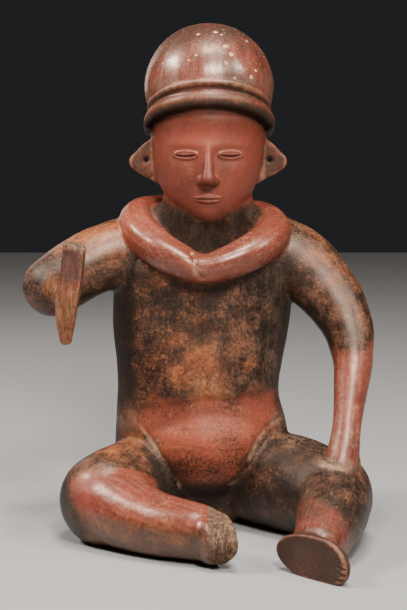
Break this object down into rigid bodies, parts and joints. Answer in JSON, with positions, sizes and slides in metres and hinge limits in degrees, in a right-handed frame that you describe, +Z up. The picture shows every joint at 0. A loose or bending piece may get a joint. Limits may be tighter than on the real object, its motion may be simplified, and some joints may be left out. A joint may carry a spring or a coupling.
{
  "type": "seated clay figure",
  "caption": "Seated figure of burnished clay in a brimmed helmet and thick collar, one hand raised with a short paddle, the other arm propped on a knee.",
  "frame": {"origin": "centre of the bounding box, on the surface the figure sits on", "axes": "+Z up, the figure faces -Y, its own right arm at -X"},
  "size_m": [0.312, 0.296, 0.4495],
  "materials": {
    "burnished_clay": "burnished red and dark brown slip, worn in places"
  },
  "bodies": {
    "root": {"seated_figure": "burnished_clay"}
  },
  "joints": []
}
